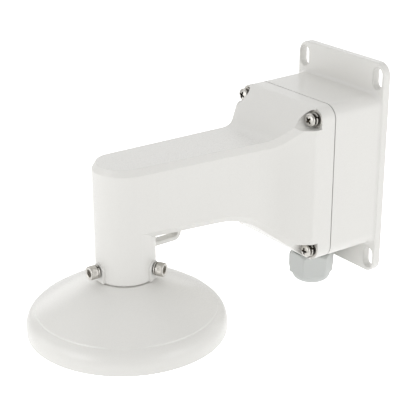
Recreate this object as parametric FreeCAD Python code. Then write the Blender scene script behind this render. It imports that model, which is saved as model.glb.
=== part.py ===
import FreeCAD, Part

import math
import os

from FreeCAD import Vector

# Sizes are in millimetres. The origin is the middle of the wall plate's back face.
# X runs across the bracket, Z is up, and depth is the distance from the wall along -Y.

# Junction box
box_half_width = 43.2
box_half_height = 57.7
box_depth = 47.5
box_corner = 10.0
box_draft = 1.4
box_wall = 3.2
box_root_round = 3.0
screw_inset_x = 6.2
screw_inset_top = 7.7
screw_inset_bottom = 9.1
screw_boss = 7.2
thread_depth = 20.0

# Wall plate, one casting with the box
plate_margin = 2.8
plate_flange = 23.3
plate_thickness = 5.9
plate_corner = 9.5
plate_edge_round = 1.0
slot_half_width = 4.3
slot_length = 15.4
slot_inset_x = 6.8
slot_inset_z = 11.6
slot_edge_bevel = 0.5
wall_cable_hole = 12.5
wall_cable_hole_z = 20.0

# Gasket between the box and its cover
gasket_thickness = 0.8
gasket_recess = 0.6

# Cover, arm and neck, one hollow casting
cover_wall = 3.2
cover_band = 12.0
cover_side = 16.9
cover_seat = 11.9
cover_edge_round = 5.0
side_round_reach = 1.2
pocket_room = 0.6
arm_top_at_nose = 38.1
arm_top_angle = 1.3
arm_bottom_at_neck = -12.3
arm_bottom_angle = 3.2
ramp_angle = 38.7
ramp_foot_round = 20.0
arch_round = 65.0
arm_half_width = 23.9
flare_depth = 100.0
flare_radius = 30.0
bevel_across = 2.6
bevel_down = 4.4

# Neck under the arm's end
neck_depth = 195.5
neck_radius = 20.7
neck_wall = 3.7
neck_bottom = -43.8
neck_edge_round = 0.6
neck_boss_radius = 5.4
neck_boss_reach = 1.1
neck_screw_rise = 8.0
neck_screw_count = 3

# Loop for a safety rope behind the neck
loop_width = 7.5
loop_thickness = 3.2
loop_drop = 16.2
loop_reach = 23.1
loop_corner = 6.0
loop_edge_round = 0.7

# Cover screws with their washers
thread_radius = 2.5
hole_clearance = 0.3
running_gap = 0.1
flat_washer_radius = 5.8
flat_washer_thickness = 1.0
spring_washer_radius = 4.8
spring_washer_thickness = 1.2
washer_slit = 0.9
washer_slit_tilt = 30.0
washer_gap = 0.9
pan_head_radius = 4.9
pan_head_height = 2.8
pan_head_side = 0.8
pan_head_flat = 2.6
pan_head_crown = 0.2
cross_width = 1.2
cross_span = 5.2
cross_depth = 1.8
cover_screw_reach = 12.0

# Socket screws that hold the cap's spigot in the neck
neck_thread_radius = 3.0
socket_head_radius = 4.8
socket_head_height = 5.3
socket_across_flats = 5.0
socket_depth = 3.0
neck_washer_radius = 4.7
neck_washer_thickness = 1.1
neck_washer_rise = 0.9
neck_washer_gap = 0.2

# Round cap under the neck
cap_radius = 69.3
cap_height = 40.2
cap_wall = 3.0
cap_rim_round = 12.0
crease_inset = 6.9
crease_drop = 22.2
crease_step = 1.0
dome_radius = 250.0
seat_margin = 0.5
seat_land = 1.6
shadow_gap = 0.9
spigot_clearance = 0.2
spigot_wall = 3.0
spigot_length = 21.8
mount_boss_pitch_radius = 52.0
mount_boss_radius = 5.0
mount_boss_recess = 8.0
mount_hole = 2.1
mount_hole_depth = 9.0
cap_rib_thickness = 2.5
cap_rib_recess = 10.0
cap_rib_count = 8
cap_hub_depth = 12.2

# Cable gland under the box
gland_depth = 27.0
gland_thread = 12.5
gland_clearance = 0.3
gland_shank_wall = 2.7
gland_across_flats = 30.0
gland_turn = 2.5
gland_ring_width = 2.4
gland_ring_thickness = 1.2
gland_body_height = 7.2
gland_nut_gap = 0.4
gland_nut_height = 20.5
gland_dome_height = 8.0
gland_dome_inset = 0.2
gland_lip = 0.3
gland_hex_bevel = 0.8
gland_stub_reach = 16.0
gland_seal_wall = 3.2
gland_seal_length = 19.0
locknut_margin = 1.0
locknut_height = 5.0
gland_thread_reach = 12.0

# Places and sizes that follow from those above
plate_half_width = box_half_width + plate_margin
plate_half_height = box_half_height + plate_flange
screw_x = box_half_width - screw_inset_x
screw_top_z = box_half_height - screw_inset_top
screw_bottom_z = screw_inset_bottom - box_half_height
clearance_hole = thread_radius + hole_clearance
neck_clearance_hole = neck_thread_radius + hole_clearance
pocket_radius = flat_washer_radius + pocket_room
cover_back = box_depth + gasket_thickness
band_depth = cover_back + cover_band
side_depth = cover_back + cover_side
seat_depth = cover_back + cover_seat
washer_top = seat_depth + flat_washer_thickness
spring_base = washer_top + washer_gap
head_base = spring_base + spring_washer_thickness + washer_gap
nose_depth = neck_depth + neck_radius
neck_bore = neck_radius - neck_wall
neck_screw_z = neck_bottom + neck_screw_rise
boss_face_depth = nose_depth + neck_boss_reach
neck_washer_base = boss_face_depth + neck_washer_rise
socket_base = neck_washer_base + neck_washer_thickness + neck_washer_gap
loop_bottom = arm_bottom_at_neck - loop_drop
loop_back_depth = neck_depth - neck_radius - loop_reach
cap_bottom = neck_bottom - cap_height
dome_top = neck_bottom - shadow_gap
seat_radius = neck_bore + seat_land
spigot_outer = neck_bore - spigot_clearance
spigot_inner = spigot_outer - spigot_wall
ring_low = -box_half_height - gland_ring_thickness
body_low = ring_low - gland_body_height
nut_high = body_low - gland_nut_gap
nut_low = nut_high - gland_nut_height
gland_mouth = nut_low - gland_dome_height
gland_bore = gland_thread - gland_shank_wall
seal_radius = gland_bore - running_gap
neck_centre = Vector(0, -neck_depth, 0)
gland_centre = Vector(0, -gland_depth, 0)
away = Vector(0, -1, 0)
up = Vector(0, 0, 1)


def at(x, depth, z):
    return Vector(x, -depth, z)


def save(shape, name):
    shape.exportStep("parts/" + name + ".step")
    print(name, len(shape.Solids), round(shape.Volume), shape.isValid())


def rod(radius, start, direction, length):
    return Part.makeCylinder(radius, length, start, direction)


def tube(outer, inner, start, direction, length):
    return rod(outer, start, direction, length).cut(rod(inner, start, direction, length))


def upright(radius, centre, low, high):
    return rod(radius, Vector(centre.x, centre.y, low), up, high - low)


def outward(radius, x, z, near, far):
    return rod(radius, at(x, near, z), away, far - near)


def block(x_range, depth_range, z_range):
    low = Vector(min(x_range), -max(depth_range), min(z_range))
    high = Vector(max(x_range), -min(depth_range), max(z_range))
    size = high.sub(low)
    return Part.makeBox(size.x, size.y, size.z, low)


def hexagon(across_flats, centre, low, high, turn):
    corner = across_flats / math.sqrt(3)
    points = []
    for index in range(7):
        angle = math.radians(60 * index + turn)
        points.append(Vector(centre.x + corner * math.cos(angle), centre.y + corner * math.sin(angle), low))
    return Part.Face(Part.makePolygon(points)).extrude(Vector(0, 0, high - low))


def rounded_wire(half_x, half_z, radius, depth):
    # Upright rectangle with round corners
    corners = []
    for quarter, (side, level) in enumerate([(1, 1), (-1, 1), (-1, -1), (1, -1)]):
        points = []
        for part in (0, 45, 90):
            angle = math.radians(90 * quarter + part)
            x = side * (half_x - radius) + radius * math.cos(angle)
            z = level * (half_z - radius) + radius * math.sin(angle)
            points.append(at(x, depth, z))
        corners.append(points)
    edges = []
    for index, points in enumerate(corners):
        edges.append(Part.Arc(*points).toShape())
        edges.append(Part.makeLine(points[2], corners[(index + 1) % 4][0]))
    return Part.Wire(edges)


def rounded_block(half_x, half_z, radius, near, far):
    face = Part.Face(rounded_wire(half_x, half_z, radius, near))
    return face.extrude(away * (far - near))


def tapered_block(inset, growth, near, far):
    # The box's outline, wider by the draft at the wall than at its front
    corner = box_corner - inset
    back = rounded_wire(box_half_width + growth - inset, box_half_height - inset, corner, near)
    front = rounded_wire(box_half_width - inset, box_half_height - inset, corner, far)
    return Part.makeLoft([back, front], True, True)


def tangent_arc(start, direction, end):
    # Arc that leaves the start in a given direction and reaches the end
    chord = end.sub(start)
    along = Vector(direction).normalize()
    across = chord.sub(along * chord.dot(along)).normalize()
    radius = chord.Length ** 2 / (2 * chord.dot(across))
    centre = start.add(across * radius)
    half = start.sub(centre).add(end.sub(centre)).normalize()
    return Part.Arc(start, centre.add(half * radius), end).toShape()


def tangent_point(point, centre, radius, turn):
    # Where a line from the point touches a circle in the plan
    reach = point.sub(centre)
    angle = math.atan2(reach.y, reach.x) + turn * math.acos(radius / reach.Length)
    return centre.add(Vector(math.cos(angle), math.sin(angle), 0) * radius)


def rounded_corner(before, corner, after, radius):
    # Where the rounding of a corner between two lines starts, its arc, and where it ends
    inward = corner.sub(before).normalize()
    onward = after.sub(corner).normalize()
    reach = radius * math.tan(inward.getAngle(onward) / 2)
    start = corner.sub(inward * reach)
    end = corner.add(onward * reach)
    return start, tangent_arc(start, inward, end), end


def each_corner():
    return [(side, level) for level in (1, -1) for side in (1, -1)]


def screw_height(level):
    return screw_top_z if level > 0 else screw_bottom_z


def plate():
    body = rounded_block(plate_half_width, plate_half_height, plate_corner, 0, plate_thickness)
    front_edges = [edge for edge in body.Edges if edge.BoundBox.YMax < -plate_thickness + 0.01]
    return body.makeFillet(plate_edge_round, front_edges)


def slot(grow, near, far):
    # One upright slot with round ends, about the origin
    reach = slot_length / 2 - slot_half_width
    width = slot_half_width + grow
    middle = block((-width, width), (near, far), (-reach, reach))
    ends = [outward(width, 0, end, near, far) for end in (-reach, reach)]
    return middle.multiFuse(ends).removeSplitter()


def slots():
    bevel_face = plate_thickness - slot_edge_bevel
    shapes = []
    for side, level in each_corner():
        place = at(side * (plate_half_width - slot_inset_x), 0, level * (plate_half_height - slot_inset_z))
        through = slot(0, -1, plate_thickness + 1)
        mouth = slot(slot_edge_bevel, bevel_face, plate_thickness + 1)
        for cut in (through, mouth):
            shapes.append(cut.translated(place))
    return shapes


def junction_box():
    outer = tapered_block(0, box_draft, plate_thickness, box_depth)
    body = plate().fuse(outer).removeSplitter()
    body = body.makeFillet(box_root_round, edges_at(body, box_half_width + box_draft, plate_thickness))
    cavity = tapered_block(box_wall, box_draft, plate_thickness, box_depth)
    for side, level in each_corner():
        cavity = cavity.cut(outward(screw_boss, side * screw_x, screw_height(level), 0, box_depth + 1))
    cuts = slots()
    cuts.append(cavity)
    cuts.append(outward(wall_cable_hole, 0, wall_cable_hole_z, -1, plate_thickness + 1))
    floor = -box_half_height + box_wall
    cuts.append(upright(gland_thread + gland_clearance, gland_centre, -box_half_height - 1, floor + 1))
    cuts.extend(screw_holes(thread_radius + running_gap, box_depth - thread_depth, box_depth + 1))
    return body.cut(cuts).removeSplitter()


def edges_at(body, half_width, depth):
    # Edges that lie flat at one depth, no further out than the half width
    found = []
    for edge in body.Edges:
        box = edge.BoundBox
        flat = box.YLength < 0.01 and abs(box.YMin + depth) < 0.01
        if flat and max(box.XMax, -box.XMin) < half_width + 0.1:
            found.append(edge)
    return found


def screw_holes(radius, near, far):
    return [outward(radius, side * screw_x, screw_height(level), near, far) for side, level in each_corner()]


def box_gasket():
    outline = (box_half_width - gasket_recess, box_half_height - gasket_recess, box_corner - gasket_recess)
    opening = (box_half_width - box_wall, box_half_height - box_wall, box_corner - box_wall)
    outer = rounded_block(*outline, box_depth, cover_back)
    ring = outer.cut(rounded_block(*opening, box_depth, cover_back))
    for eye in screw_holes(screw_boss, box_depth, cover_back):
        ring = ring.fuse(eye.common(outer))
    return ring.cut(screw_holes(clearance_hole, box_depth, cover_back)).removeSplitter()


def arm_top(depth):
    return arm_top_at_nose + math.tan(math.radians(arm_top_angle)) * (depth - nose_depth)


def arm_bottom(depth):
    return arm_bottom_at_neck + math.tan(math.radians(arm_bottom_angle)) * (depth - neck_depth)


def ramp_corner(head, level):
    # Where the slope from the cover's edge would meet the arm's top or bottom line
    edge = arm_top if level > 0 else arm_bottom
    arm_rise = edge(1) - edge(0)
    ramp_rise = -level * math.tan(math.radians(ramp_angle))
    run = (head.z - edge(-head.y)) / (arm_rise - ramp_rise)
    return at(0, run - head.y, head.z + ramp_rise * run)


def side_profile(back):
    # Outline of the cover and arm seen from the side
    far = nose_depth + neck_radius
    top_far = at(0, far, arm_top(far))
    bottom_far = at(0, far, arm_bottom(far))
    ramp_head = at(0, band_depth, box_half_height)
    foot_corner = ramp_corner(ramp_head, 1)
    ramp_end, ramp_foot, arm_start = rounded_corner(ramp_head, foot_corner, top_far, ramp_foot_round)
    arch_head = at(0, band_depth, -box_half_height)
    arch_corner = ramp_corner(arch_head, -1)
    arch_end, arch, under_start = rounded_corner(arch_head, arch_corner, bottom_far, arch_round)
    top_back = at(0, back, box_half_height)
    bottom_back = at(0, back, -box_half_height)
    edges = [
        Part.makeLine(top_back, ramp_head),
        Part.makeLine(ramp_head, ramp_end),
        ramp_foot,
        Part.makeLine(arm_start, top_far),
        Part.makeLine(top_far, bottom_far),
        Part.makeLine(bottom_far, under_start),
        arch,
        Part.makeLine(arch_end, arch_head),
        Part.makeLine(arch_head, bottom_back),
        Part.makeLine(bottom_back, top_back),
    ]
    return Part.Face(Part.Wire(Part.sortEdges(edges)[0]))


def plan_profile(back):
    # Outline of the cover, flare, arm and nose seen from above
    back_corner = at(box_half_width, back, 0)
    side_corner = at(box_half_width, side_depth, 0)
    flare_start = at(arm_half_width, flare_depth, 0)
    nose_point = tangent_point(flare_start, neck_centre, neck_radius, -1)
    along = flare_start.sub(nose_point).normalize()
    flare_centre = flare_start.add(Vector(along.y, -along.x, 0) * flare_radius)
    flare_end = tangent_point(side_corner, flare_centre, flare_radius, 1)
    slope = flare_end.sub(side_corner).normalize()
    round_start = side_corner.sub(away * side_round_reach)
    round_end = side_corner.add(slope * side_round_reach)
    half = [
        Part.makeLine(back_corner, round_start),
        tangent_arc(round_start, away, round_end),
        Part.makeLine(round_end, flare_end),
        tangent_arc(flare_start, along, flare_end),
        Part.makeLine(flare_start, nose_point),
    ]
    other_half = [edge.mirror(Vector(0, 0, 0), Vector(1, 0, 0)) for edge in half]
    nose = Part.Arc(nose_point, at(0, nose_depth, 0), Vector(-nose_point.x, nose_point.y, 0)).toShape()
    back_line = Part.makeLine(Vector(-back_corner.x, back_corner.y, 0), back_corner)
    edges = half + other_half + [nose, back_line]
    return Part.Face(Part.Wire(Part.sortEdges(edges)[0]))


def form_between(side_face, plan_face):
    # The solid that both outlines allow
    width = 4 * box_half_width
    height = 4 * box_half_height
    sideways = side_face.translated(Vector(-width / 2, 0, 0)).extrude(Vector(width, 0, 0))
    upward = plan_face.translated(Vector(0, 0, -height / 2)).extrude(Vector(0, 0, height))
    return sideways.common(upward).removeSplitter()


def nose_edge(body, level):
    # The round end's upper or lower edge, which starts a smooth run along the arm's sides
    for edge in body.Edges:
        box = edge.BoundBox
        wide = box.XLength > neck_radius * 3 / 2
        if wide and box.YMax < -neck_depth + neck_radius / 4 and level * box.ZMin > 0:
            return edge


def bevel_along_arm(body, level):
    edge = nose_edge(body, level)
    first_face = body.ancestorsOfType(edge, Part.Face)[0]
    distances = (bevel_across, bevel_down)
    if first_face.BoundBox.ZLength > bevel_down * 2:
        distances = (bevel_down, bevel_across)
    return body.makeChamfer(*distances, [edge])


def band_edges(body):
    # Edges between the flat bands and the slopes, above and below
    found = []
    for edge in body.Edges:
        box = edge.BoundBox
        if abs(box.YMin + band_depth) < 0.01 and box.YLength < 0.01 and box.ZLength < 0.01:
            found.append(edge)
    return found


def pocket(side, level, wall):
    # Round well about a cover screw that opens towards the side, or the same grown by a wall
    near = cover_back - 1 if wall else seat_depth
    far = flare_depth
    centre = screw_height(level)
    well = outward(pocket_radius + wall, side * screw_x, centre, near, far)
    beyond = 2 * box_half_height
    floor = centre - level * (pocket_radius + wall)
    return well.fuse(block((side * screw_x, side * beyond), (near, far), (floor, level * beyond)))


def cover_cavity():
    # Hollow that runs from the cover's open back to the neck
    back = cover_back - 2 * cover_wall
    side_face = side_profile(back).makeOffset2D(-cover_wall)
    plan_face = plan_profile(back).makeOffset2D(-cover_wall)
    cavity = form_between(side_face, plan_face)
    for side, level in each_corner():
        cavity = cavity.cut(pocket(side, level, cover_wall))
    return cavity


def around_neck(shape, index):
    turned = shape.copy()
    turned.rotate(neck_centre, up, 360 / neck_screw_count * index)
    return turned


def neck_boss():
    inside = neck_depth + neck_bore + neck_wall / 4
    disc = outward(neck_boss_radius, 0, neck_screw_z, inside, boss_face_depth)
    across = (-neck_boss_radius, neck_boss_radius)
    return disc.fuse(block(across, (inside, boss_face_depth), (neck_bottom, neck_screw_z)))


def neck():
    middle = (arm_top_at_nose + arm_bottom_at_neck) / 2
    stem = upright(neck_radius, neck_centre, neck_bottom, middle)
    rim = [edge for edge in stem.Edges if edge.BoundBox.ZMax < neck_bottom + 1]
    stem = stem.makeFillet(neck_edge_round, rim)
    return stem.multiFuse([around_neck(neck_boss(), index) for index in range(neck_screw_count)])


def safety_loop():
    outer_z = loop_bottom + loop_corner
    outer_depth = loop_back_depth + loop_corner
    inner_round = loop_corner - loop_thickness
    inner_bottom = loop_bottom + loop_thickness
    inner_back = loop_back_depth + loop_thickness
    root_depth = neck_depth - neck_radius + cover_wall / 2
    top = arm_bottom(loop_back_depth) + cover_wall / 2
    forward = Vector(0, 1, 0)
    edges = [
        Part.makeLine(at(0, root_depth, loop_bottom), at(0, outer_depth, loop_bottom)),
        tangent_arc(at(0, outer_depth, loop_bottom), forward, at(0, loop_back_depth, outer_z)),
        Part.makeLine(at(0, loop_back_depth, outer_z), at(0, loop_back_depth, top)),
        Part.makeLine(at(0, loop_back_depth, top), at(0, inner_back, top)),
        Part.makeLine(at(0, inner_back, top), at(0, inner_back, outer_z)),
        tangent_arc(at(0, inner_back + inner_round, inner_bottom), forward, at(0, inner_back, outer_z)),
        Part.makeLine(at(0, inner_back + inner_round, inner_bottom), at(0, root_depth, inner_bottom)),
        Part.makeLine(at(0, root_depth, inner_bottom), at(0, root_depth, loop_bottom)),
    ]
    face = Part.Face(Part.Wire(Part.sortEdges(edges)[0]))
    loop = face.translated(Vector(-loop_width / 2, 0, 0)).extrude(Vector(loop_width, 0, 0))
    rims = [edge for edge in loop.Edges if edge.BoundBox.XLength < loop_width / 2]
    return loop.makeFillet(loop_edge_round, rims)


def arm_casting():
    body = form_between(side_profile(cover_back), plan_profile(cover_back))
    for level in (1, -1):
        body = bevel_along_arm(body, level)
    body = body.makeFillet(cover_edge_round, band_edges(body))
    outline = (box_half_width, box_half_height, box_corner)
    body = body.common(rounded_block(*outline, cover_back, nose_depth + 1))
    body = body.multiFuse([neck(), safety_loop()])
    cuts = [pocket(side, level, 0) for side, level in each_corner()]
    cuts.append(cover_cavity())
    cuts.append(upright(neck_bore, neck_centre, neck_bottom - 1, arm_bottom_at_neck + 2 * cover_wall))
    cuts.extend(screw_holes(clearance_hole, cover_back - 1, seat_depth + 1))
    for index in range(neck_screw_count):
        hole = outward(neck_clearance_hole, 0, neck_screw_z, neck_depth, boss_face_depth + 1)
        cuts.append(around_neck(hole, index))
    return body.cut(cuts).removeSplitter()


def spring_washer(outer, inner, x, z, near, thickness):
    # Split ring with a slanting slit
    start = at(x, near, z)
    ring = tube(outer, inner, start, away, thickness)
    across = (x - washer_slit / 2, x + washer_slit / 2)
    slit = block(across, (near - 1, near + thickness + 1), (z, z + 2 * outer))
    slit.rotate(at(x, near + thickness / 2, z), up, washer_slit_tilt)
    return ring.cut(slit)


def pan_head_screw(x, z):
    # Screw along the depth, with a domed head and a cross recess
    rim = at(pan_head_radius, head_base + pan_head_side, 0)
    crown = at(pan_head_flat, head_base + pan_head_height - pan_head_crown, 0)
    tip_depth = cover_back - cover_screw_reach
    edges = [
        Part.makeLine(at(0, tip_depth, 0), at(thread_radius, tip_depth, 0)),
        Part.makeLine(at(thread_radius, tip_depth, 0), at(thread_radius, head_base, 0)),
        Part.makeLine(at(thread_radius, head_base, 0), at(pan_head_radius, head_base, 0)),
        Part.makeLine(at(pan_head_radius, head_base, 0), rim),
        tangent_arc(rim, away, crown),
        Part.makeLine(crown, at(0, head_base + pan_head_height, 0)),
        Part.makeLine(at(0, head_base + pan_head_height, 0), at(0, tip_depth, 0)),
    ]
    profile = Part.Face(Part.Wire(Part.sortEdges(edges)[0]))
    screw = profile.revolve(Vector(0, 0, 0), away, 360)
    top = head_base + pan_head_height
    long = (-cross_span / 2, cross_span / 2)
    short = (-cross_width / 2, cross_width / 2)
    depths = (top - cross_depth, top + 1)
    screw = screw.cut([block(long, depths, short), block(short, depths, long)])
    return screw.translated(Vector(x, 0, z))


def socket_screw():
    # Screw along the depth through the neck's wall, with a hexagon socket
    centre = at(0, 0, neck_screw_z)
    head = outward(socket_head_radius, 0, neck_screw_z, socket_base, socket_base + socket_head_height)
    tip_depth = neck_depth + spigot_inner + running_gap
    shank = outward(neck_thread_radius, 0, neck_screw_z, tip_depth, socket_base)
    socket = hexagon(socket_across_flats, Vector(0, 0, 0), 0, socket_depth + 1, 0)
    socket.rotate(Vector(0, 0, 0), Vector(1, 0, 0), 90)
    socket = socket.translated(centre.add(away * (socket_base + socket_head_height - socket_depth)))
    return head.fuse(shank).cut(socket)


def ring_point(radius, z):
    return neck_centre.add(Vector(radius, 0, z))


def spin(edges):
    face = Part.Face(Part.Wire(Part.sortEdges(edges)[0]))
    return face.revolve(neck_centre, up, 360)


def path(points):
    return [Part.makeLine(*pair) for pair in zip(points, points[1:])]


def cap_sizes():
    # Ends of the dome with its circle's centre, and start of the rim with its rounding's centre
    crease_radius = cap_radius - crease_inset
    dome_start = ring_point(neck_radius + seat_margin, dome_top)
    dome_edge = ring_point(crease_radius, dome_top - crease_drop)
    chord = dome_edge.sub(dome_start)
    height = math.sqrt(dome_radius ** 2 - chord.Length ** 2 / 4)
    inward = Vector(chord.z, 0, -chord.x).normalize()
    dome_centre = dome_start.add(chord * 0.5).add(inward * height)
    rim_start = dome_edge.add(Vector(crease_step / 2, 0, -crease_step))
    across = crease_radius + crease_step / 2 - (cap_radius - cap_rim_round)
    fall = math.sqrt(cap_rim_round ** 2 - across ** 2)
    rim_centre = rim_start.add(Vector(-across, 0, -fall))
    return dome_start, dome_edge, dome_centre, rim_start, rim_centre


def arc_about(centre, start, end):
    half = start.sub(centre).normalize().add(end.sub(centre).normalize()).normalize()
    return Part.Arc(start, centre.add(half * start.distanceToPoint(centre)), end).toShape()


def cap_outer():
    dome_start, dome_edge, dome_centre, rim_start, rim_centre = cap_sizes()
    side = rim_centre.add(Vector(cap_rim_round, 0, 0))
    foot = ring_point(cap_radius, cap_bottom)
    seat_edge = ring_point(seat_radius, neck_bottom)
    seat_foot = ring_point(seat_radius, dome_top)
    edges = [arc_about(dome_centre, dome_start, dome_edge), arc_about(rim_centre, rim_start, side)]
    edges += path([dome_edge, rim_start])
    edges += path([side, foot, ring_point(0, cap_bottom), ring_point(0, neck_bottom)])
    edges += path([ring_point(0, neck_bottom), seat_edge, seat_foot, dome_start])
    return spin(edges)


def cap_hollow():
    dome_start, dome_edge, dome_centre, rim_start, rim_centre = cap_sizes()
    shrink = (dome_radius - cap_wall) / dome_radius
    inner_start = dome_centre.add(dome_start.sub(dome_centre) * shrink)
    inner_edge = dome_centre.add(dome_edge.sub(dome_centre) * shrink)
    inner_round = cap_rim_round - cap_wall
    inner_rim = rim_centre.add(rim_start.sub(rim_centre) * (inner_round / cap_rim_round))
    side = rim_centre.add(Vector(inner_round, 0, 0))
    below = cap_bottom - 1
    foot = ring_point(cap_radius - cap_wall, below)
    top = Vector(0, -neck_depth, inner_start.z)
    edges = [arc_about(dome_centre, inner_start, inner_edge), arc_about(rim_centre, inner_rim, side)]
    edges += path([inner_edge, inner_rim])
    edges += path([side, foot, ring_point(0, below), top, inner_start])
    return spin(edges)


def cap_ribs():
    # Spokes under the dome
    ribs = []
    inner = spigot_inner + spigot_wall / 2
    outer = cap_radius - cap_wall / 2
    low = cap_bottom + cap_rib_recess
    corner = ring_point(inner, low).add(Vector(0, -cap_rib_thickness / 2, 0))
    for index in range(cap_rib_count):
        rib = Part.makeBox(outer - inner, cap_rib_thickness, neck_bottom - low, corner)
        rib.rotate(neck_centre, up, 360 / cap_rib_count * index)
        ribs.append(rib)
    return ribs


def mount_boss_centres():
    reach = mount_boss_pitch_radius / math.sqrt(2)
    return [neck_centre.add(Vector(side * reach, level * reach, 0)) for side, level in each_corner()]


def mounting_cap():
    outer = cap_outer()
    boss_face = cap_bottom + mount_boss_recess
    spigot_top = neck_bottom + spigot_length
    inside = cap_ribs()
    inside.append(upright(spigot_outer, neck_centre, neck_bottom - cap_hub_depth, neck_bottom))
    for centre in mount_boss_centres():
        inside.append(upright(mount_boss_radius, centre, boss_face, neck_bottom))
    shell = outer.cut(cap_hollow())
    body = shell.multiFuse([shape.common(outer) for shape in inside])
    body = body.fuse(upright(spigot_outer, neck_centre, neck_bottom - cap_wall, spigot_top))
    cuts = [upright(spigot_inner, neck_centre, cap_bottom - 1, spigot_top + 1)]
    for centre in mount_boss_centres():
        cuts.append(upright(mount_hole, centre, boss_face - 1, boss_face + mount_hole_depth))
    for index in range(neck_screw_count):
        reach = neck_depth + spigot_outer + 1
        hole = outward(neck_thread_radius + running_gap, 0, neck_screw_z, neck_depth, reach)
        cuts.append(around_neck(hole, index))
    return body.cut(cuts).removeSplitter()


def bevelled_hexagon(across_flats, low, high, bevel_low, bevel_high):
    # Hexagon about the gland's axis whose corners are turned down at the ends
    corner = across_flats / math.sqrt(3)
    prism = hexagon(across_flats, gland_centre, low, high, gland_turn)
    turned = upright(corner, gland_centre, low, high)
    for z, bevel in ((low, bevel_low), (high, bevel_high)):
        if bevel:
            level = [edge for edge in turned.Edges if edge.BoundBox.ZLength < 0.01]
            rim = [edge for edge in level if abs(edge.BoundBox.ZMin - z) < 0.01]
            turned = turned.makeChamfer(bevel, rim)
    return prism.common(turned)


def gland_ring():
    start = gland_centre.add(Vector(0, 0, ring_low))
    inner = gland_thread + running_gap
    return tube(inner + gland_ring_width, inner, start, up, gland_ring_thickness)


def gland_body():
    hex_part = bevelled_hexagon(gland_across_flats, body_low, ring_low, 0, gland_hex_bevel)
    shank_top = -box_half_height + box_wall + gland_thread_reach
    shank = upright(gland_thread, gland_centre, body_low - gland_stub_reach, shank_top)
    bore = upright(gland_bore, gland_centre, 2 * gland_mouth, 0)
    return hex_part.fuse(shank).cut(bore).removeSplitter()


def gland_locknut():
    floor = -box_half_height + box_wall
    high = floor + locknut_height
    nut = bevelled_hexagon(gland_across_flats + locknut_margin, floor, high, 0, gland_hex_bevel)
    return nut.cut(upright(gland_thread + running_gap, gland_centre, floor - 1, high + 1))


def gland_nut():
    # Hexagon with a dome below, open at its mouth
    hex_part = bevelled_hexagon(gland_across_flats, nut_low, nut_high, gland_hex_bevel, gland_hex_bevel)
    rim = gland_centre.add(Vector(gland_across_flats / 2 - gland_dome_inset, 0, nut_low))
    tip = gland_centre.add(Vector(seal_radius + gland_lip, 0, gland_mouth))
    axis_low = gland_centre.add(Vector(0, 0, gland_mouth))
    axis_high = gland_centre.add(Vector(0, 0, nut_low))
    edges = [tangent_arc(rim, Vector(0, 0, -1), tip)] + path([tip, axis_low, axis_high, rim])
    dome = Part.Face(Part.Wire(Part.sortEdges(edges)[0])).revolve(gland_centre, up, 360)
    body = hex_part.fuse(dome)
    thread_end = body_low - gland_stub_reach - running_gap
    body = body.cut(upright(gland_thread + running_gap, gland_centre, thread_end, nut_high + 1))
    mouth = upright(seal_radius + running_gap, gland_centre, gland_mouth - 1, thread_end + 1)
    return body.cut(mouth).removeSplitter()


def gland_seal():
    start = gland_centre.add(Vector(0, 0, gland_mouth + 2 * running_gap))
    return tube(seal_radius, seal_radius - gland_seal_wall, start, up, gland_seal_length)


if __name__ == "__main__":
    os.makedirs("parts", exist_ok=True)
    save(junction_box(), "junction_box")
    save(box_gasket(), "box_gasket")
    save(arm_casting(), "arm_casting")
    for number, (side, level) in enumerate(each_corner(), 1):
        x = side * screw_x
        z = screw_height(level)
        flat = tube(flat_washer_radius, clearance_hole, at(x, seat_depth, z), away, flat_washer_thickness)
        save(flat, f"flat_washer_{number}")
        sizes = (spring_washer_radius, clearance_hole)
        spring = spring_washer(*sizes, x, z, spring_base, spring_washer_thickness)
        save(spring, f"spring_washer_{number}")
        save(pan_head_screw(x, z), f"cover_screw_{number}")
    save(mounting_cap(), "mounting_cap")
    for number in range(1, neck_screw_count + 1):
        sizes = (neck_washer_radius, neck_clearance_hole)
        ring = spring_washer(*sizes, 0, neck_screw_z, neck_washer_base, neck_washer_thickness)
        save(around_neck(ring, number - 1), f"neck_washer_{number}")
        save(around_neck(socket_screw(), number - 1), f"neck_screw_{number}")
    save(gland_ring(), "gland_ring")
    save(gland_body(), "gland_body")
    save(gland_nut(), "gland_nut")
    save(gland_seal(), "gland_seal")
    save(gland_locknut(), "gland_locknut")
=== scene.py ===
import math

import bmesh
import bpy
import numpy as np
from mathutils import Matrix, Vector


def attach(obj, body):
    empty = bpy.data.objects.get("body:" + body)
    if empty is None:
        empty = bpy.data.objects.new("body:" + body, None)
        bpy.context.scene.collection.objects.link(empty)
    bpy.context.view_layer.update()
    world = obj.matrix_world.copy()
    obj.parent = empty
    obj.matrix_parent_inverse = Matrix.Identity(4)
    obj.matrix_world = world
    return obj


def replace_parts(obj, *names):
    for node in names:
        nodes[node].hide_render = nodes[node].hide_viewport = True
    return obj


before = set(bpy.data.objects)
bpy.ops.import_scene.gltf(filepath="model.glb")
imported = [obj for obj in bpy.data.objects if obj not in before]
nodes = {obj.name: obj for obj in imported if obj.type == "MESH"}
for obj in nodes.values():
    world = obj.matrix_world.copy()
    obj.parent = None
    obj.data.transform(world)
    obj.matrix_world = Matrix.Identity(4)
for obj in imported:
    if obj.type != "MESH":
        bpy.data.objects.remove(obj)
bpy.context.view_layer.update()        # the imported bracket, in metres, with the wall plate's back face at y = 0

mm = 0.001
scene = bpy.context.scene


# Camera

view = {
    "place": (0.62541, -0.58963, 0.30992),
    "azimuth": 53.45,      # degrees round from looking along +Y
    "elevation": 22.52,
    "lens": 103.73,
    "sensor": 36.0,
    "clip": (0.01, 50),
}


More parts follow.
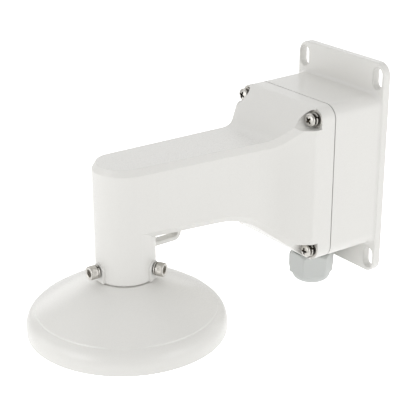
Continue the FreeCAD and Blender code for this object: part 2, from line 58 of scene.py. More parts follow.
def addCamera(v):
    a = math.radians(v["azimuth"])
    e = math.radians(v["elevation"])
    back = Vector((math.sin(a) * math.cos(e), -math.cos(a) * math.cos(e), math.sin(e)))
    right = Vector((math.cos(a), math.sin(a), 0))
    turn = Matrix((right, back.cross(right), back)).transposed().to_4x4()
    data = bpy.data.cameras.new("photoCamera")
    data.sensor_width = v["sensor"]
    data.lens = v["lens"]
    data.clip_start, data.clip_end = v["clip"]
    camera = bpy.data.objects.new("photoCamera", data)
    camera.matrix_world = Matrix.Translation(v["place"]) @ turn
    scene.collection.objects.link(camera)
    scene.camera = camera


addCamera(view)
print("camera set")


# Light: a pale tent, soft boxes round the bracket and near it, and cards that show only in reflections

light = {
    "sky": 0.6,            # brightness of the surroundings on matt surfaces
    "gloss": 0.42,         # and in reflections
    "middle": (0, -0.1, 0),     # what the boxes stand round and face
    "reach": 1.5,          # metres from the middle to the boxes and cards
    "boxSize": 0.8,
    "boxes": {             # degrees round from the camera, degrees up, power
        "rearLeft": (-150, 15, 2.9),
        "left": (-60, 15, 3.2),
        "front": (30, 15, 0.55),
        "right": (60, 15, 1.9),
        "rearRight": (120, 15, 1.6),
        "rearRightFar": (150, 15, 2.4),
        "rear": (180, 15, 1.4),
        "highRear": (180, 50, 1.2),
    },
    "near": {              # place, size, point aimed at, power
        "overhead": ((0.1, -0.1, 1.4), 1.0, (0, -0.1, 0), 2.1),
        "nearRight": ((0.75, 0.05, 0.15), 0.4, (0.04, -0.03, 0), 0.7),
        "nearLeft": ((-0.35, -0.65, 0), 0.3, (0, -0.2, -0.02), 0.33),
        "nearBack": ((0.5, 0.45, 0.1), 0.4, (0.04, 0, 0), 0.3),
        "nearFront": ((0.1, -0.8, 0.1), 0.3, (0, -0.2, 0), 0.46),
    },
    "cardSize": 0.9,
    "cards": {             # degrees round from the camera, degrees up, power
        "cardFarLeft": (-150, 45, 0.8),
        "cardLeft": (-100, 45, 1.5),
        "cardFrontLeft": (-60, 45, 0.6),
        "cardRear": (180, 15, 1.5),
    },
}

floor = {
    "drop": 0.42,          # metres below the origin
    "half": 6.0,
    "paint": (0.86, 0.86, 0.86, 1),
    "glow": 0.355,         # light that it gives back by itself
    "extra": 0.6,          # and what it gives the camera besides, which makes the background white
}


def addSoftBox(name, place, size, power, aim):
    data = bpy.data.lights.new(name, "AREA")
    data.shape = "SQUARE"
    data.size = size
    data.energy = power
    box = bpy.data.objects.new(name, data)
    box.location = place
    box.rotation_euler = (Vector(aim) - Vector(place)).to_track_quat("-Z", "Y").to_euler()
    scene.collection.objects.link(box)
    return box


def roundMiddle(turn, height, setup):           # a place on a ball round the middle
    a = math.radians(view["azimuth"] + turn)
    e = math.radians(height)
    level = setup["reach"] * math.cos(e)
    x, y, z = setup["middle"]
    return (x + level * math.sin(a), y - level * math.cos(a), z + setup["reach"] * math.sin(e))


def addLamps(setup):
    middle = setup["middle"]
    for name, (turn, height, power) in setup["boxes"].items():
        addSoftBox(name, roundMiddle(turn, height, setup), setup["boxSize"], power, middle)
    for name, (place, size, aim, power) in setup["near"].items():
        addSoftBox(name, place, size, power, aim)
    for name, (turn, height, power) in setup["cards"].items():
        place = roundMiddle(turn, height, setup)
        card = addSoftBox(name, place, setup["cardSize"], power, middle)
        card.visible_diffuse = False


def chosen(tree, ray, otherwise, value):        # one strength for a kind of ray, another for the rest
    pick = tree.nodes.new("ShaderNodeMix")
    tree.links.new(ray, pick.inputs[0])
    if isinstance(otherwise, float):
        pick.inputs[2].default_value = otherwise
    else:
        tree.links.new(otherwise, pick.inputs[2])
    pick.inputs[3].default_value = value
    return pick.outputs[0]


def addSurroundings(sky, gloss):
    world = bpy.data.worlds.new("tent")
    scene.world = world
    world.use_nodes = True
    tree = world.node_tree
    glow = tree.nodes["Background"]
    glow.inputs["Color"].default_value = (1, 1, 1, 1)
    path = tree.nodes.new("ShaderNodeLightPath")
    strength = chosen(tree, path.outputs["Is Glossy Ray"], sky, gloss)
    strength = chosen(tree, path.outputs["Is Camera Ray"], strength, 1.0)
    tree.links.new(strength, glow.inputs["Strength"])


def floorPaint(f):
    mat = bpy.data.materials.new("paleFloor")
    mat.use_nodes = True
    tree = mat.node_tree
    tree.nodes.clear()
    link = tree.links.new
    paint = tree.nodes.new("ShaderNodeBsdfDiffuse")
    paint.inputs["Color"].default_value = f["paint"]
    path = tree.nodes.new("ShaderNodeLightPath")
    strength = tree.nodes.new("ShaderNodeMath")
    strength.operation = "MULTIPLY_ADD"
    strength.inputs[1].default_value = f["extra"]
    strength.inputs[2].default_value = f["glow"]
    link(path.outputs["Is Camera Ray"], strength.inputs[0])
    glow = tree.nodes.new("ShaderNodeEmission")
    link(strength.outputs[0], glow.inputs["Strength"])
    add = tree.nodes.new("ShaderNodeAddShader")
    out = tree.nodes.new("ShaderNodeOutputMaterial")
    link(paint.outputs[0], add.inputs[0])
    link(glow.outputs[0], add.inputs[1])
    link(add.outputs[0], out.inputs["Surface"])
    return mat


def addFloor(f):
    half = f["half"]
    level = -f["drop"]
    corners = [(x, y, level) for x, y in ((-half, -half), (half, -half), (half, half), (-half, half))]
    mesh = bpy.data.meshes.new("paleFloor")
    mesh.from_pydata(corners, [], [(0, 1, 2, 3)])
    mesh.materials.append(floorPaint(f))
    sheet = bpy.data.objects.new("paleFloor", mesh)
    scene.collection.objects.link(sheet)


addSurroundings(light["sky"], light["gloss"])
addLamps(light)
addFloor(floor)
scene.view_settings.view_transform = "Standard"
print("lights and floor set")


# Materials: sizes and depths in millimetres

finish = {
    "coatColour": (0.728, 0.72, 0.692, 1),
    "coatShades": (0.985, 1.01),        # darkest and palest, as factors of the colour
    "coatRoughness": (0.23, 0.33),      # smoothest and roughest
    "cloudSize": 45,       # slow changes of shade
    "peelSize": 1.1,       # dimples of the coat
    "peelDepth": 0.007,
    "grainSize": 0.28,
    "grainDepth": 0.0025,
    "edgeRadius": 0.35,    # by which edges look rounded
    "steelColour": (0.66, 0.64, 0.60, 1),
    "steelShades": (0.86, 1.08),
    "steelRoughness": (0.28, 0.45),
    "markStretch": (3, 90, 1),          # changes of the turning marks round the piece and across it
    "markDepth": 0.006,
    "stainSize": 2.5,
    # painted shade: the colour of the steel in its recesses, under the heads and between the washers
    "paintedShadeColour": (0.075, 0.06, 0.04, 1),
    "washerTone": 0.92,    # the washers' brightness and extra roughness
    "washerRougher": 0.06,
    "plasticColour": (0.53, 0.545, 0.53, 1),
    "plasticShades": (0.97, 1.02),
    "plasticRoughness": (0.39, 0.53),
    "plasticCloud": 12,
    "skinSize": 0.2,
    "skinDepth": 0.006,
    "plasticEdge": 0.4,
    "gasketColour": (0.34, 0.35, 0.34, 1),
    "gasketRoughness": (0.67, 0.85),
    "rubberColour": (0.02, 0.02, 0.02, 1),
    "rubberRoughness": (0.52, 0.7),
    "rubberShades": (0.85, 1.2),
    "bloomSize": 1.5,
    "bloomDepth": 0.01,
}


def newMaterial(name):
    mat = bpy.data.materials.new(name)
    mat.use_nodes = True
    tree = mat.node_tree
    return mat, tree, tree.nodes["Principled BSDF"]


def noiseOf(tree, size, detail=2.0):            # lumps of a size, on the object's coordinates
    coords = tree.nodes.new("ShaderNodeTexCoord")
    noise = tree.nodes.new("ShaderNodeTexNoise")
    noise.inputs["Scale"].default_value = 1 / (size * mm)
    noise.inputs["Detail"].default_value = detail
    tree.links.new(coords.outputs["Object"], noise.inputs["Vector"])
    return noise.outputs["Fac"]


def ranged(tree, value, low, high):
    span = tree.nodes.new("ShaderNodeMapRange")
    span.inputs["To Min"].default_value = low
    span.inputs["To Max"].default_value = high
    tree.links.new(value, span.inputs["Value"])
    return span.outputs["Result"]


def tinted(tree, value, colour, low, high):     # colour times a factor that runs from low to high
    tint = tree.nodes.new("ShaderNodeMix")
    tint.data_type = "RGBA"
    tint.blend_type = "MIX"
    tint.inputs[6].default_value = tuple(c * low for c in colour[:3]) + (1,)
    tint.inputs[7].default_value = tuple(min(1, c * high) for c in colour[:3]) + (1,)
    tree.links.new(value, tint.inputs[0])
    return tint.outputs[2]


def bumped(tree, height, depth, below=None):    # bump of a depth, from a height between 0 and 1
    bump = tree.nodes.new("ShaderNodeBump")
    bump.inputs["Distance"].default_value = depth * mm
    bump.inputs["Strength"].default_value = 1.0
    tree.links.new(height, bump.inputs["Height"])
    if below is not None:
        tree.links.new(below, bump.inputs["Normal"])
    return bump.outputs["Normal"]


def softEdges(tree, radius):
    bevel = tree.nodes.new("ShaderNodeBevel")
    bevel.samples = 6
    bevel.inputs["Radius"].default_value = radius * mm
    return bevel.outputs["Normal"]


def whiteCoat(f):                               # powder coat: dimples, a fine grain, slow shade changes
    mat, tree, shader = newMaterial("whiteCoat")
    link = tree.links.new
    cloud = noiseOf(tree, f["cloudSize"])
    link(tinted(tree, cloud, f["coatColour"], *f["coatShades"]), shader.inputs["Base Color"])
    grain = noiseOf(tree, f["grainSize"])
    link(ranged(tree, grain, *f["coatRoughness"]), shader.inputs["Roughness"])
    normal = softEdges(tree, f["edgeRadius"])
    normal = bumped(tree, noiseOf(tree, f["peelSize"]), f["peelDepth"], normal)
    link(bumped(tree, grain, f["grainDepth"], normal), shader.inputs["Normal"])
    return mat


def turnedSteel(f, name, tone=1.0, rougher=0.0):    # turning marks follow the piece's grid; its shade attribute paints shade on the metal
    mat, tree, shader = newMaterial(name)
    link = tree.links.new
    shader.inputs["Metallic"].default_value = 1.0
    coords = tree.nodes.new("ShaderNodeTexCoord")
    stretch = tree.nodes.new("ShaderNodeMapping")
    stretch.inputs["Scale"].default_value = f["markStretch"]
    marks = tree.nodes.new("ShaderNodeTexNoise")
    marks.inputs["Scale"].default_value = 1.0
    marks.inputs["Detail"].default_value = 3
    link(coords.outputs["UV"], stretch.inputs["Vector"])
    link(stretch.outputs[0], marks.inputs["Vector"])
    colour = [c * tone for c in f["steelColour"][:3]]
    shade = tree.nodes.new("ShaderNodeAttribute")
    shade.attribute_name = "shade"
    paintedShade = tree.nodes.new("ShaderNodeMix")     # painted shade where the shade is 0, bare metal where it is 1
    paintedShade.data_type = "RGBA"
    paintedShade.inputs[6].default_value = f["paintedShadeColour"]
    link(shade.outputs["Fac"], paintedShade.inputs[0])
    stain = noiseOf(tree, f["stainSize"], 3)
    link(tinted(tree, stain, colour, *f["steelShades"]), paintedShade.inputs[7])
    link(paintedShade.outputs[2], shader.inputs["Base Color"])
    roughness = [value + rougher for value in f["steelRoughness"]]
    link(ranged(tree, marks.outputs["Fac"], *roughness), shader.inputs["Roughness"])
    link(bumped(tree, marks.outputs["Fac"], f["markDepth"]), shader.inputs["Normal"])
    return mat


def mouldedPlastic(f):                          # light grey plastic with a faint spark-eroded skin
    mat, tree, shader = newMaterial("mouldedPlastic")
    link = tree.links.new
    cloud = noiseOf(tree, f["plasticCloud"])
    link(tinted(tree, cloud, f["plasticColour"], *f["plasticShades"]), shader.inputs["Base Color"])
    skin = noiseOf(tree, f["skinSize"])
    link(ranged(tree, skin, *f["plasticRoughness"]), shader.inputs["Roughness"])
    edges = softEdges(tree, f["plasticEdge"])
    link(bumped(tree, skin, f["skinDepth"], edges), shader.inputs["Normal"])
    return mat


def softRubber(f, name, colour, roughness):     # rubber with a fine cloudy bloom
    mat, tree, shader = newMaterial(name)
    link = tree.links.new
    bloom = noiseOf(tree, f["bloomSize"], 4)
    link(tinted(tree, bloom, colour, *f["rubberShades"]), shader.inputs["Base Color"])
    link(ranged(tree, bloom, *roughness), shader.inputs["Roughness"])
    link(bumped(tree, bloom, f["bloomDepth"]), shader.inputs["Normal"])
    return mat


coat = whiteCoat(finish)
steel = turnedSteel(finish, "turnedSteel")
washerSteel = turnedSteel(finish, "washerSteel", finish["washerTone"], finish["washerRougher"])
plastic = mouldedPlastic(finish)
gasket = softRubber(finish, "gasketRubber", finish["gasketColour"], finish["gasketRoughness"])
rubber = softRubber(finish, "sealRubber", finish["rubberColour"], finish["rubberRoughness"])
print("materials made")


# Surfaces of turned and moulded pieces, in millimetres

grid = {
    "merge": 1e-7,         # metres within which points are one
    "sharp": 38,           # degrees past which an edge looks sharp
}


def around(columns):                            # angles of the columns round an axis, in radians
    return np.arange(columns) * (2 * math.pi / columns)


def placed(radius, height, angles, frameOf):
    # Point at a radius and angle round an axis and a height along it:
    # origin + radius cos(angle) across + radius sin(angle) rise + height axis
    origin, across, rise, axis = (np.array(v, float) for v in frameOf)
    radius, height, angles = np.broadcast_arrays(radius, height, angles)
    x = (radius * np.cos(angles))[..., None]
    y = (radius * np.sin(angles))[..., None]
    return origin + x * across + y * rise + height[..., None] * axis


def stacked(rows, columns):
    # Radii and heights of a piece's rows, where a row is one of each, a number or one for each column
    shape = [np.broadcast_arrays(r, h, np.zeros(columns))[:2] for r, h in rows]
    return np.array([r for r, h in shape]), np.array([h for r, h in shape])


def inFrom(radius, steps):                      # rows a little inside a radius, from insets and heights
    return [(radius - inset, height) for inset, height in steps]


def makePiece(name, points, mat, closed=False, shade=1.0):
    # Faces join each point to its neighbours along the rows and round the columns. A closed profile also
    # joins its last row to its first, and a row on the axis is merged into one point. The shade, one
    # number for each point, is painted shade: it darkens the metal in recesses and between the washers.
    rows, columns = points.shape[:2]
    index = np.arange(rows * columns).reshape(rows, columns)
    here = index if closed else index[:-1]
    there = np.roll(index, -1, axis=0) if closed else index[1:]
    corners = (here, np.roll(here, -1, axis=1), np.roll(there, -1, axis=1), there)
    faces = np.stack(corners, axis=-1).reshape(-1, 4)
    mesh = bpy.data.meshes.new(name)
    mesh.from_pydata((points.reshape(-1, 3) * mm).tolist(), [], faces.tolist())
    row, column = np.indices(here.shape)
    u = np.stack((column, column + 1, column + 1, column), axis=-1) / columns
    v = np.stack((row, row, row + 1, row + 1), axis=-1) / here.shape[0]
    mesh.uv_layers.new(name="grid").data.foreach_set("uv", np.stack((u, v), axis=-1).ravel())
    tone = np.broadcast_to(shade, (rows, columns)).astype(np.float32).ravel()
    mesh.attributes.new("shade", "FLOAT", "POINT").data.foreach_set("value", tone)
    work = bmesh.new()
    work.from_mesh(mesh)
    bmesh.ops.remove_doubles(work, verts=work.verts, dist=grid["merge"])
    bmesh.ops.recalc_face_normals(work, faces=work.faces)
    work.to_mesh(mesh)
    work.free()
    mesh.shade_smooth()
    mesh.set_sharp_from_angle(angle=math.radians(grid["sharp"]))
    mesh.materials.append(mat)
    piece = bpy.data.objects.new(name, mesh)
    scene.collection.objects.link(piece)
    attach(piece, "root")
    return piece


def threadRows(major, depth, pitch, start, end, angles, perTurn=6, steep=1.3):
    # Radius of a helical thread: major less depth times a clipped triangle wave of turns along less
    # turns round. The wave fades in over a turn at both ends.
    along = np.linspace(start, end, max(2, int(abs(end - start) / pitch * perTurn)))[:, None]
    phase = (along / pitch - angles / (2 * math.pi)) % 1
    wave = np.clip(steep * np.abs(2 * phase - 1) - (steep - 1) / 2, 0, 1)
    inside = np.minimum(np.abs(along - start), np.abs(along - end)) / pitch
    radius = major - depth * wave * np.clip(inside, 0, 1)
    return [(radius[i], along[i]) for i in range(len(along))]


def hexRadius(angles, acrossFlats, corner=0.0):
    # Distance from the axis to a hexagon's side. The corners are rounded by a high power mean of the
    # sides.
    folded = np.abs((angles + math.pi / 6) % (math.pi / 3) - math.pi / 6)
    side = acrossFlats / 2 / np.cos(folded)
    if not corner:
        return side
    power = acrossFlats / corner
    sides = [np.maximum(np.cos(angles - k * math.pi / 3), 0) ** power for k in range(6)]
    return acrossFlats / 2 / np.sum(sides, axis=0) ** (1 / power)


def crossRadius(angles, span, width, power=10):
    # Distance to the edge of a cross: the nearer of an arm's end and its side, with rounded corners
    folded = (angles + math.pi / 4) % (math.pi / 2) - math.pi / 4
    end = span / 2 / np.cos(folded)
    side = width / 2 / np.maximum(np.abs(np.sin(folded)), 1e-3)
    return (end ** -power + side ** -power) ** (-1 / power)


# Cover screws

coverScrew = {
    "seats": [(37.0, 50.0, 45), (-37.0, 50.0, 70), (37.0, -48.6, 2), (-37.0, -48.6, 28)],  # x, z, turn
    "headBase": 65.3,      # in front of the wall
    "headRadius": 4.7,
    "headHeight": 2.5,
    "headSide": 0.8,
    "roundness": 2.3,      # 2 is a ball's cap, more is flatter on top
    "domeRows": 15,
    "crossSpan": 5.3,
    "crossWidth": 1.6,
    "crossDepth": 1.9,
    "crossTaper": 0.72,    # the floor's size as a share of the mouth's
    "crossDish": 0.5,      # by which the floor rises to the arms' ends
    "crossSteps": (0, 0.35, 0.7, 0.93),             # rows of the floor, as shares of its size
    "crossFoot": (1.01, 0.06),                      # how much wider and higher the wall's foot is
    "crossShade": (0, 0, 0, 0, 0.02, 0.1, 0.5),     # painted shade of the floor's rows, its edge and the lip
    "lip": [(0.07, 0.16), (0.02, 0.04)],            # inset and drop of the mouth's rounded edge
    "rim": [(0, 0.3), (0.04, 0.12), (0.15, 0.02), (0.3, 0)],     # inset and height of the lower edge
    "fillet": [(3.2, 0), (2.7, -0.05), (2.5, -0.25)],   # radius and height under the head
    "underShade": ((-0.2, 0.1), (0.1, 1)),          # heights and the shades there: painted shade under the head
    "threadRadius": 2.5,
    "threadDepth": 0.45,
    "pitch": 0.8,
    "threadStart": -0.5,
    "length": 29.0,
    "tip": [(1.9, 0), (0.9, 0), (0, 0)],            # radius and height above the end
    "tipChamfer": 0.7,
    "columns": 96,
}


def outwardFrame(x, z, depth, turn=0.0):
    a = math.radians(turn)
    across = (math.cos(a), 0, math.sin(a))
    rise = (-math.sin(a), 0, math.cos(a))
    return (x, -depth, z), across, rise, (0, -1, 0)


def shankRows(s, angles):                       # a screw's thread and its tip
    end = -s["length"]
    size = (s["threadRadius"], s["threadDepth"], s["pitch"])
    rows = threadRows(*size, s["threadStart"], end + s["tipChamfer"], angles)
    return rows + [(radius, end + rise) for radius, rise in s["tip"]]


def coverScrewRows(s, angles):
    # From the middle of the cross's floor, up its tapered wall, over the dome (a superellipse: height
    # falls with the radius raised to the roundness), round the rim, under the head and down the thread
    high = s["headHeight"]
    rim = s["headRadius"]
    crown = high - s["headSide"]
    power = s["roundness"]

    def dome(radius):
        return s["headSide"] + crown * np.sqrt(np.clip(1 - (radius / rim) ** power, 0, 1))

    def floorHeight(radius):
        return high - s["crossDepth"] + s["crossDish"] * (radius / (s["crossSpan"] / 2)) ** 2

    mouth = crossRadius(angles, s["crossSpan"], s["crossWidth"])
    taper = s["crossTaper"]
    foot = crossRadius(angles, s["crossSpan"] * taper, s["crossWidth"] * taper)
    rows = [(share * foot, floorHeight(share * foot)) for share in s["crossSteps"]]
    wider, higher = s["crossFoot"]
    rows.append((foot * wider, floorHeight(foot) + higher))
    rows += [(mouth - inset, dome(mouth) - drop) for inset, drop in s["lip"]]
    start = np.arcsin((mouth / rim) ** (power / 2))
    for share in np.linspace(0, 1, s["domeRows"]):
        tilt = start + share * (math.pi / 2 - start)
        rows.append((rim * np.sin(tilt) ** (2 / power), s["headSide"] + crown * np.cos(tilt)))
    return rows + inFrom(rim, s["rim"]) + s["fillet"] + shankRows(s, angles)


def makeCoverScrews(s):
    angles = around(s["columns"])
    radius, height = stacked(coverScrewRows(s, angles), s["columns"])
    # painted shade under the head and in the cross
    shade = np.interp(height, *s["underShade"])
    shade[:len(s["crossShade"])] = np.array(s["crossShade"])[:, None]
    for number, (x, z, turn) in enumerate(s["seats"], 1):
        points = placed(radius, height, angles, outwardFrame(x, z, s["headBase"], turn))
        screw = makePiece(f"coverScrew{number}", points, steel, shade=shade)
        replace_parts(screw, f"cover_screw_{number}")


makeCoverScrews(coverScrew)


# Washers under the cover screws and the neck screws

flatRing = {
    "seat": 60.2,          # in front of the wall
    "outer": 6.3,
    "inner": 2.8,
    "thickness": 1.0,
    "softness": 0.28,      # of the section's corners
    "brightEdge": 0.9,     # how far in from the outer edge the ring is bright
    "darkEdge": 1.6,       # and where painted shade makes it dark from there on
    "shades": (0.1, 1),
    "columns": 72,
}

springRing = {
    "seat": 62.3,
    "outer": 4.8,
    "inner": 2.8,
    "thickness": 1.2,
    "softness": 0.35,
    "slit": 0.9,
    "slitTurn": 30,        # degrees round from the right where the split is
    "lift": 1.0,           # how far one end of the split ring stands above the other
    "brightEdge": 0.5,
    "darkEdge": 1.1,
    "shades": (0.1, 1),
    "sections": 60,
    "run": (0.012, 0.988),      # shares of the way round where the even sections start and end
    "ends": (0, 0, 0.004),      # shares where the rounded end before them has its sections
    "endSize": 0.9,
}

neckRing = {
    **springRing,
    "seat": 218.2,         # in front of the wall, for the screw at the front
    "outer": 4.7,
    "inner": 3.3,
    "thickness": 1.1,
    "slitTurn": 60,
    "lift": 0.3,
}


def ringSection(r, count=24):
    # Rounded rectangle as a superellipse: each half width times a signed power of the sine or cosine
    turn = around(count) + math.pi / count
    x = np.sign(np.cos(turn)) * np.abs(np.cos(turn)) ** r["softness"]
    y = np.sign(np.sin(turn)) * np.abs(np.sin(turn)) ** r["softness"]
    radius = (r["inner"] + r["outer"]) / 2 + x * (r["outer"] - r["inner"]) / 2
    return radius, r["thickness"] / 2 + y * r["thickness"] / 2


# painted shade on a washer: bright at the outer edge, dark further in where it lies between the parts
def ringShade(r, radius):
    return np.interp(radius, (r["outer"] - r["darkEdge"], r["outer"] - r["brightEdge"]), r["shades"])


def flatWasher(r, name, frameOf):
    radius, height = (side[:, None] for side in ringSection(r))
    points = placed(radius, height, around(r["columns"]), frameOf)
    shade = ringShade(r, radius)
    return makePiece(name, points, washerSteel, closed=True, shade=shade)


def splitWasher(r, name, frameOf):
    # Rounded section carried round the axis from one side of the slit to the other, while it climbs by
    # the lift. The first and last sections shrink to their middle and close the ends.
    sectionRadius, sectionHeight = ringSection(r)
    middle = (r["inner"] + r["outer"]) / 2
    level = r["thickness"] / 2
    half = r["slit"] / (2 * middle)
    ends = np.array(r["ends"])
    run = np.linspace(*r["run"], r["sections"])
    share = np.concatenate((ends, run, 1 - ends[::-1]))[:, None]
    size = np.ones(share.shape)
    size[[0, -1]] = 0
    size[[1, -2]] = r["endSize"]
    sweep = math.radians(r["slitTurn"]) + half + share * (2 * math.pi - 2 * half)
    radius = middle + size * (sectionRadius - middle)
    height = level + size * (sectionHeight - level) + (share - 0.5) * r["lift"]
    points = placed(radius, height, sweep, frameOf)
    return makePiece(name, points, washerSteel, shade=ringShade(r, radius))


def makeCoverWashers(seats):
    for number, (x, z, turn) in enumerate(seats, 1):
        flat = flatWasher(flatRing, f"flatWasher{number}", outwardFrame(x, z, flatRing["seat"]))
        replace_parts(flat, f"flat_washer_{number}")
        place = outwardFrame(x, z, springRing["seat"])
        spring = splitWasher(springRing, f"springWasher{number}", place)
        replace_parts(spring, f"spring_washer_{number}")


makeCoverWashers(coverScrew["seats"])
print("cover screws and washers made")


# Socket screws round the neck

neckScrew = {
    "turns": [-90, 30, 150],                    # degrees from +X of each screw
    "axis": (0, -195.5, -35.8),                 # the neck's axis at the screws' height
    "headBase": 24.0,      # from the neck's axis
    "headRadius": 4.8,
    "headHeight": 5.3,
    "grooves": 40,
    "grooveDepth": 0.14,
    "groovePower": 0.7,    # under 1 the grooves are wider than the crests
    "acrossFlats": 5.0,
    "socketDepth": 3.0,
    "drill": [(0, 0.9), (0.9, 0.55), (2.25, 0)],            # radius and depth below the socket's floor
    "socketFoot": [(0.05, 0.02), (0, 0.1)],                 # inset and height of the walls' foot
    "socketChamfer": 0.3,
    "mouth": [(3.0, 0.1), (3.15, 0), (3.6, 0)],             # radius and drop round the socket
    "corner": [(0.65, 0), (0.5, 0.03), (0.2, 0.25), (0.06, 0.5)],       # inset and drop of the edge
    "knurl": [(0.3, 0.7), (1, 0.95), (1, 2.4), (1, 3.9), (0.3, 4.3)],   # share of the groove and drop
    "collar": [(0.02, 0.7), (0.02, 0.3), (0.12, 0.08), (0.35, 0)],      # inset and height
    "fillet": [(3.5, 0), (3.1, -0.08), (3.0, -0.3)],
    "outerShade": ((-0.2, 0.2, 0.6), (0.05, 0.2, 1)),       # heights and the painted shade there
    "socketShade": ((1.5, 4.9, 5.3), (0.7, 0.9, 0.95)),     # the same in the socket
    "socketWithin": 3.05,  # radius up to which a point belongs to the socket
    "knurlFrom": 4.5,      # and from which it belongs to the knurl
    "knurlFade": 0.35,     # by which painted shade makes a groove darker
    "threadRadius": 3.0,
    "threadDepth": 0.5,
    "pitch": 1.0,
    "threadStart": -0.5,
    "length": 10.1,
    "tip": [(2.3, 0), (1.2, 0), (0, 0)],
    "tipChamfer": 0.6,
    "columns": 240,
}


def roundNeckFrame(turn, reach, s):
    a = math.radians(turn)
    axis = np.array((math.cos(a), math.sin(a), 0))
    rise = np.array((0, 0, 1))
    return np.array(s["axis"]) + reach * axis, np.cross(rise, axis), rise, axis


def neckScrewRows(s, angles):
    # From the drilled cone at the bottom of the socket, up its six walls, over the flat face and its
    # turned corner and down the knurl (radius less the groove's depth times a raised cosine)
    high = s["headHeight"]
    rim = s["headRadius"]
    flats = hexRadius(angles, s["acrossFlats"])
    bottom = high - s["socketDepth"]
    rows = [(radius, bottom - depth) for radius, depth in s["drill"]]
    rows += [(flats - inset, bottom + rise) for inset, rise in s["socketFoot"]]
    rows.append((flats, high - s["socketChamfer"]))
    rows += [(radius, high - drop) for radius, drop in s["mouth"]]
    rows += [(rim - inset, high - drop) for inset, drop in s["corner"]]
    groove = s["grooveDepth"] * (0.5 - 0.5 * np.cos(s["grooves"] * angles)) ** s["groovePower"]
    rows += [(rim - share * groove, high - drop) for share, drop in s["knurl"]]
    return rows + inFrom(rim, s["collar"]) + s["fillet"] + shankRows(s, angles)


def neckScrewShade(s, radius, height):          # painted shade: dark at the base, in the grooves and in the socket
    collar = s["headRadius"] - s["collar"][0][0]
    groove = np.clip((collar - radius) / s["grooveDepth"], 0, 1)
    outside = np.interp(height, *s["outerShade"])
    outside = outside * np.where(radius > s["knurlFrom"], 1 - s["knurlFade"] * groove, 1)
    socket = np.interp(height, *s["socketShade"])
    return np.where((radius < s["socketWithin"]) & (height > 0), socket, outside)


def makeNeckScrews(s, ring):
    angles = around(s["columns"])
    radius, height = stacked(neckScrewRows(s, angles), s["columns"])
    shade = neckScrewShade(s, radius, height)
    reach = ring["seat"] + s["axis"][1]
    for number, turn in enumerate(s["turns"], 1):
        points = placed(radius, height, angles, roundNeckFrame(turn, s["headBase"], s))
        screw = makePiece(f"neckScrew{number}", points, steel, shade=shade)
        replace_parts(screw, f"neck_screw_{number}")
        under = splitWasher(ring, f"neckWasher{number}", roundNeckFrame(turn, reach, s))
        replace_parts(under, f"neck_washer_{number}")


makeNeckScrews(neckScrew, neckRing)
print("neck screws and washers made")


# Cable gland

gland = {
    "centre": (0, -27.0),
    "turn": 29,            # degrees that the flats are turned
    "acrossFlats": 30.3,
    "cornerSoftness": 0.15,
    "chamferInset": 0.35,  # of the small ends of the cones that cut the corners
    "chamferSlope": 1.6,
    "bodyLow": -70.4,
    "bodyHigh": -58.9,
    "bodyFace": 0.75,      # inset of the hexagon's end faces
    "bodySteps": (0.0, 0.15, 0.35, 0.7, 1.2),       # distances of the cone's rows from its small end
    "nutHigh": -71.6,
    "nutFace": 0.6,
    "nutEdge": 0.05,
    "nutSteps": (0.0, 0.12, 0.3, 0.6, 0.9, 1.3, 2.0),
    "cornerRows": (-75.6, -88.3, 16),               # first, last and number of the rows further down
    "cornerFall": -85.0,   # from here down the corners are turned to cornerRadius
    "cornerRadius": 17.0,
    "cornerSlope": 0.4,
    "ledge": -88.8,        # where the hexagon ends and the dome starts
    "ledgeEdge": [(0.04, 0.25), (0.16, 0.06), (0.3, 0)],    # inset and height of its rounded edge
    "hair": 0.02,          # a step between two edges that nearly meet
    "mouth": -94.7,
    "domeStart": -89.0,
    "domeRadius": 14.85,
    "domePower": 1.9,
    "domeRows": (0.05, 1.0, 18),                    # first, last and number, in quarter turns
    "mouthRadius": 10.0,
    "mouthBore": 9.9,
    "mouthLip": 0.3,
    "sealRadius": 9.7,
    "sealBore": 6.5,
    "sealLow": -94.2,
    "sealHigh": -75.8,
    "sealEnd": [(0, 0.5), (0.15, 0.15), (0.5, 0)],  # inset and distance from the end
    "sealLip": [(0, 0.9), (0.2, 0.3), (0.6, 0)],    # the same at the inner edge of the lower end
    "threadRadius": 12.5,
    "threadDepth": 0.55,
    "pitch": 1.5,
    "runOut": 0.3,         # from a thread's end to the face beside it
    "tipInset": 0.5,
    "nutPlay": 0.1,        # by which the nut's thread is wider
    "nutCountersink": 0.25,
    "nutRunOut": 0.4,
    "nutThreadEnd": -82.2,
    "shankLow": -82.1,
    "shankHigh": -42.5,
    "bore": 9.8,
    "columns": 144,
}


def softLeast(a, b, power=60):                  # the smaller of two radii, rounded where they change
    return (np.asarray(a, float) ** -power + np.asarray(b, float) ** -power) ** (-1 / power)


def glandFrame(g):
    a = math.radians(g["turn"])
    across = (math.cos(a), math.sin(a), 0)
    rise = (-math.sin(a), math.cos(a), 0)
    return (*g["centre"], 0), across, rise, (0, 0, 1)


def chamferRows(g, sides, level, way, steps):   # the hexagon's end: a cone cuts the corners away
    flat = g["acrossFlats"] / 2 - g["chamferInset"]
    return [(softLeast(sides, flat + g["chamferSlope"] * s), level + way * s) for s in steps]


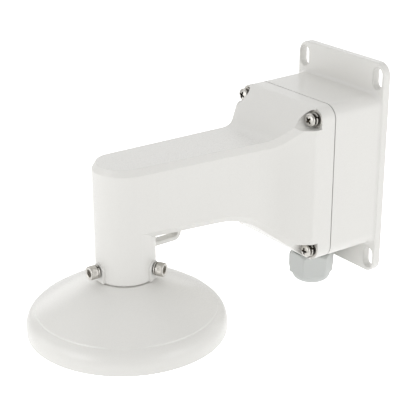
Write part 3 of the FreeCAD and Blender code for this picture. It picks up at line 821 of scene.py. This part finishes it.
def nutRows(g, angles):
    # Outside from the top face down: the lesser of the hexagon and a turned outline, which is a cone, so
    # that each flat ends in an arc. Then a narrow ledge, the dome (inset to the power plus drop to the
    # power is one), in at the mouth and up the thread.
    sides = hexRadius(angles, g["acrossFlats"], g["cornerSoftness"])
    top = g["nutHigh"]
    thread = g["threadRadius"] + g["nutPlay"]
    rows = [(thread + g["nutCountersink"], top), (g["acrossFlats"] / 2 - g["nutFace"], top)]
    rows += chamferRows(g, sides, top - g["nutEdge"], -1, g["nutSteps"])
    for level in np.linspace(*g["cornerRows"]):
        cone = g["cornerRadius"] + g["cornerSlope"] * max(0, level - g["cornerFall"])
        rows.append((softLeast(sides, cone), level))
    edge = softLeast(sides, g["cornerRadius"])
    rows += [(edge - inset, g["ledge"] + rise) for inset, rise in g["ledgeEdge"]]
    wide = g["domeRadius"]
    start = g["domeStart"]
    hair = g["hair"]
    rows += [(wide + hair, g["ledge"] - hair), (wide - hair, start)]
    power = 2 / g["domePower"]
    for tilt in np.linspace(*g["domeRows"]) * math.pi / 2:
        turned = g["mouthRadius"] + (wide - g["mouthRadius"]) * math.cos(tilt) ** power
        rows.append((turned, start - (start - g["mouth"]) * math.sin(tilt) ** power))
    bore = g["mouthBore"]
    rows += [(bore + hair, g["mouth"] + hair), (bore, g["mouth"] + g["mouthLip"])]
    rows += [(bore, g["nutThreadEnd"]), (thread, g["nutThreadEnd"])]
    ends = (g["nutThreadEnd"] + g["nutRunOut"], top - g["nutRunOut"])
    return rows + threadRows(thread, -g["threadDepth"], g["pitch"], *ends, angles)


def bodyRows(g, angles):
    # Up the outside: threaded shank, hexagon between two cones, threaded shank in the box, then the bore
    sides = hexRadius(angles, g["acrossFlats"], g["cornerSoftness"])
    thread = (g["threadRadius"], g["threadDepth"], g["pitch"])
    low = g["bodyLow"]
    high = g["bodyHigh"]
    gap = g["runOut"]
    tip = g["threadRadius"] - g["tipInset"]
    rows = [(g["bore"], g["shankLow"]), (tip, g["shankLow"])]
    rows += threadRows(*thread, g["shankLow"] + gap, low - gap, angles)
    face = g["acrossFlats"] / 2 - g["bodyFace"]
    rows += [(g["threadRadius"], low), (face, low)]
    rows += chamferRows(g, sides, low, 1, g["bodySteps"])
    rows += chamferRows(g, sides, high, -1, reversed(g["bodySteps"]))
    rows += [(face, high), (g["threadRadius"], high)]
    rows += threadRows(*thread, high + gap, g["shankHigh"] - gap, angles)
    return rows + [(tip, g["shankHigh"]), (g["bore"], g["shankHigh"])]


def sealRows(g, angles):                        # rubber sleeve with rounded ends, inside the mouth
    low = g["sealLow"]
    high = g["sealHigh"]
    outer = g["sealRadius"]
    inner = g["sealBore"]
    rows = [(outer - inset, high - gap) for inset, gap in g["sealEnd"]]
    rows += [(inner + inset, high - gap) for inset, gap in reversed(g["sealEnd"])]
    rows += [(inner + inset, low + gap) for inset, gap in g["sealLip"]]
    return rows + [(outer - inset, low + gap) for inset, gap in reversed(g["sealEnd"])]


def makeGland(g):
    angles = around(g["columns"])
    parts = [
        ("glandNut", "gland_nut", nutRows, plastic, "gland_plastic"),
        ("glandBody", "gland_body", bodyRows, plastic, "gland_plastic"),
        ("glandSeal", "gland_seal", sealRows, rubber, "seal_rubber"),
    ]
    for name, node, rowsOf, mat, slotName in parts:
        radius, height = stacked(rowsOf(g, angles), g["columns"])
        points = placed(radius, height, angles, glandFrame(g))
        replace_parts(makePiece(name, points, mat, closed=True), node)


makeGland(gland)
print("gland made")


# Castings, gasket, sealing ring and locknut keep the shapes of the frame

dressing = {
    "junction_box": coat,
    "arm_casting": coat,
    "mounting_cap": coat,
    "box_gasket": gasket,
    "gland_ring": rubber,
    "gland_locknut": plastic,
}

for node, mat in dressing.items():
    data = nodes[node].data
    data.materials.clear()
    data.materials.append(mat)
print("castings dressed")
